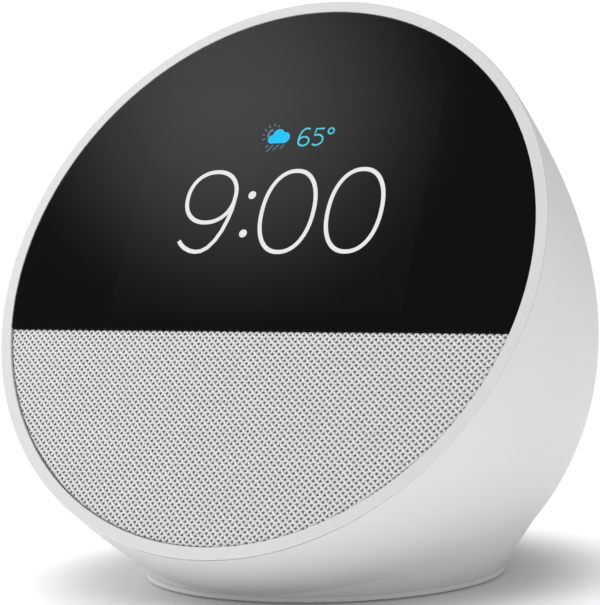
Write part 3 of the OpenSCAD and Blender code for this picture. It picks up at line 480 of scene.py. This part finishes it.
def cut_net(shape, shift):
    """Moves a sheet of threads into place and cuts it to the grille's outline, wrapping its edge down."""
    bmesh.ops.translate(shape, verts=shape.verts, vec=shift)
    spare = [f for f in shape.faces
             if all(hypot(v.co.x, v.co.y) > net_r or v.co.y > net_top for v in f.verts)]
    bmesh.ops.delete(shape, geom=spare, context="FACES")
    bmesh.ops.remove_doubles(shape, verts=shape.verts, dist=1e-7)
    for vert in shape.verts:
        reach = hypot(vert.co.x, vert.co.y)
        if reach > net_r:
            vert.co.x *= net_r / reach
            vert.co.y *= net_r / reach
        vert.co.y = min(vert.co.y, net_top)
    for vert in shape.verts:
        near = min(net_r - hypot(vert.co.x, vert.co.y), net_top - vert.co.y)
        if near < wrap:
            vert.co.z -= wrap * 0.75 * (1 - sqrt(max(0, 1 - (1 - near / wrap) ** 2)))
    rims = [e for e in shape.edges if len(e.link_faces) == 1]
    bmesh.ops.holes_fill(shape, edges=rims, sides=0)
    bmesh.ops.recalc_face_normals(shape, faces=shape.faces)


net_pieces = []
for name, side in (("net_rising", 1), ("net_falling", -1)):
    threads = net_threads(name, side)
    start_row = round((net_bottom - 2 * net_row) / net_row) * net_row
    cut_net(threads, Vector((-(64 + 32 * side) * net_pitch, start_row, net_middle)))
    mesh = bpy.data.meshes.new(name)
    for face in threads.faces:
        face.smooth = True
    threads.to_mesh(mesh)
    threads.free()
    mesh.transform(face_frame)
    net_pieces.append(add_piece(name, mesh, yarn_white))

# The net's own fine grey lining lies under it, over the plate's holes.
shape = bmesh.new()
bmesh.ops.create_circle(shape, cap_ends=True, segments=180, radius=net_r - 0.25 * mm)
bmesh.ops.bisect_plane(shape, geom=shape.verts[:] + shape.edges[:] + shape.faces[:],
                       plane_co=(0, net_top - 0.25 * mm, 0), plane_no=(0, 1, 0), clear_outer=True)
bmesh.ops.translate(shape, verts=shape.verts, vec=(0, 0, net_middle - 0.30 * mm))
thick = bmesh.ops.extrude_face_region(shape, geom=shape.faces[:])["geom"]
bmesh.ops.translate(shape, verts=[g for g in thick if isinstance(g, bmesh.types.BMVert)], vec=(0, 0, -0.08 * mm))
bmesh.ops.recalc_face_normals(shape, faces=shape.faces)
mesh = bpy.data.meshes.new("net_lining")
shape.to_mesh(mesh)
shape.free()
mesh.transform(face_frame)
net_pieces.append(add_piece("net_lining", mesh, moulded("lining_grey", (0.42, 0.43, 0.43), 0.85, grain=0.8,
                                                        grain_size=0.2, unevenness=0.12)))
for piece in net_pieces:
    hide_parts("grille_fabric")

# --- Buttons ---
# Three round caps in the shell's own plastic, with small moulded signs: less, microphone off and more.
sign_grey = moulded("sign_grey", (0.30, 0.31, 0.31), 0.5)
press = Vector(next(j for j in frame["joints"] if j["name"] == "mic_off_press")["axis"]).normalized()
cap_out = -press
cap_down = Vector((0, cap_out.z, -cap_out.y))


def sign(name, node, strokes, body):
    """A flat sign laid on a button's own curved top: strokes of (points, width, closed) in millimetres."""
    low, high = (Vector(c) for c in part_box(node))
    middle = (low + high) / 2
    cap = bmesh.new()
    cap.from_mesh(frame["nodes"][node].data)
    surface = BVHTree.FromBMesh(cap)
    shape = draw_strokes(name, strokes, 1)
    for vert in shape.verts:
        over = middle + Vector((-1, 0, 0)) * vert.co.x - cap_down * vert.co.y + cap_out * 0.03
        hit = surface.ray_cast(over, press)[0]
        vert.co = hit + cap_out * (0.03 * mm if vert.co.z > 1e-7 else -0.02 * mm)
    cap.free()
    bmesh.ops.recalc_face_normals(shape, faces=shape.faces)
    mesh = bpy.data.meshes.new(name)
    shape.to_mesh(mesh)
    shape.free()
    return add_piece(name, mesh, sign_grey, body)


cap_white = moulded("cap_white", (0.77, 0.79, 0.785), 0.44)
for node in ("volume_down_button", "mic_off_button", "volume_up_button"):
    smooth_copy(node, node.replace("_button", "_cap"), cap_white, node)
bar = ([(-1.3, 0), (-0.4, 0), (0.4, 0), (1.3, 0)], 0.4, False)
post = ([(0, -1.3), (0, -0.4), (0, 0.4), (0, 1.3)], 0.4, False)
sign("less_sign", "volume_down_button", [bar], "volume_down_button")
sign("more_sign", "volume_up_button", [bar, post], "volume_up_button")
sign("mic_sign", "mic_off_button", [
    (oval(0, 0.55, 0.5, 0.95, 2.6), 0.25, True),
    (oval(0, 0.3, 1.0, 1.15, 2.0, 180, 360, 20), 0.25, False),
    ([(0, -0.9), (0, -1.5)], 0.25, False),
    ([(-1.5, -1.4), (-0.5, -0.5), (0.5, 0.5), (1.5, 1.6)], 0.25, False),
], "mic_off_button")

# --- Floor and light ---
# A flat white floor, one broad soft light from the front left and above, and a pale room.
shape = bmesh.new()
bmesh.ops.create_grid(shape, x_segments=1, y_segments=1, size=3)
mesh = bpy.data.meshes.new("floor")
shape.to_mesh(mesh)
shape.free()
floor = bpy.data.objects.new("floor", mesh)
bpy.context.scene.collection.objects.link(floor)
floor_white, shader, where = new_finish("floor_white", Specular_IOR_Level=0.0, Roughness=1.0)
# The floor glows: painted light that keeps it white and lights the object from below. Close to the base the glow
# drops almost to nothing, which paints a shade round the base and also keeps the underside dark.
from_base = where.node("ShaderNodeVectorMath", {"operation": "LENGTH"}, {0: where}, out=1)
floor_glow_past_base_shade = where.node("ShaderNodeMapRange", {"interpolation_type": "SMOOTHSTEP"},
                        {"Value": from_base, "From Min": 0.038, "From Max": 0.07})
shader.inputs["Base Color"].default_value = (0.60, 0.60, 0.60, 1)
shader.inputs["Emission Color"].default_value = (1, 1, 1, 1)
where.feed(shader.inputs["Emission Strength"], 0.06 + floor_glow_past_base_shade * 0.65)
mesh.materials.append(floor_white)

# The room is pale all round. What polished surfaces mirror is darker in front, apart from one small soft glow.
bpy.context.scene.view_settings.view_transform = "Standard"
glow_way = Vector((-0.5224, -0.4396, 0.7307))
world = bpy.data.worlds.new("room")
bpy.context.scene.world = world
world.use_nodes = True
room = Finish(world.node_tree)
view_way = room.node("ShaderNodeTexCoord")
toward = room.node("ShaderNodeVectorMath", {"operation": "DOT_PRODUCT"}, {0: view_way, 1: glow_way}, out=1)
spot = room.node("ShaderNodeMapRange", None, {"Value": toward, "From Min": 0.9937, "From Max": 1.0})
aside = room.node("ShaderNodeMapRange", {"interpolation_type": "SMOOTHSTEP"},
                  {"Value": toward, "From Min": 0.80, "From Max": 0.55})
mirrored = spot * spot * 1.10 + aside * 0.55 + 0.07
ray = room.node("ShaderNodeLightPath")
seen = Finish(world.node_tree, ray.socket.node.outputs["Is Camera Ray"])
glossy = Finish(world.node_tree, ray.socket.node.outputs["Is Glossy Ray"])
room_light = 0.49
level_out = seen * 1.1 + (1 - seen) * (glossy * mirrored + (1 - glossy) * room_light)
backdrop = world.node_tree.nodes["Background"]
backdrop.inputs["Color"].default_value = (1, 1, 1, 1)
room.feed(backdrop.inputs["Strength"], level_out)


def softbox(name, spot, size, power, tint=(1, 1, 1)):
    """A square soft light aimed at the object."""
    lamp = bpy.data.lights.new(name, "AREA")
    lamp.shape, lamp.size, lamp.energy, lamp.color = "SQUARE", size, power, tint
    holder = bpy.data.objects.new(name, lamp)
    holder.location = spot
    holder.rotation_euler = (face_middle - Vector(spot)).to_track_quat("-Z", "Y").to_euler()
    holder.visible_glossy = False
    bpy.context.scene.collection.objects.link(holder)


softbox("left", (-0.40, -0.26, 0.34), 0.25, 1.35)
softbox("right", (0.5, 0.15, 0.6), 0.4, 0.15, (0.96, 1, 1))
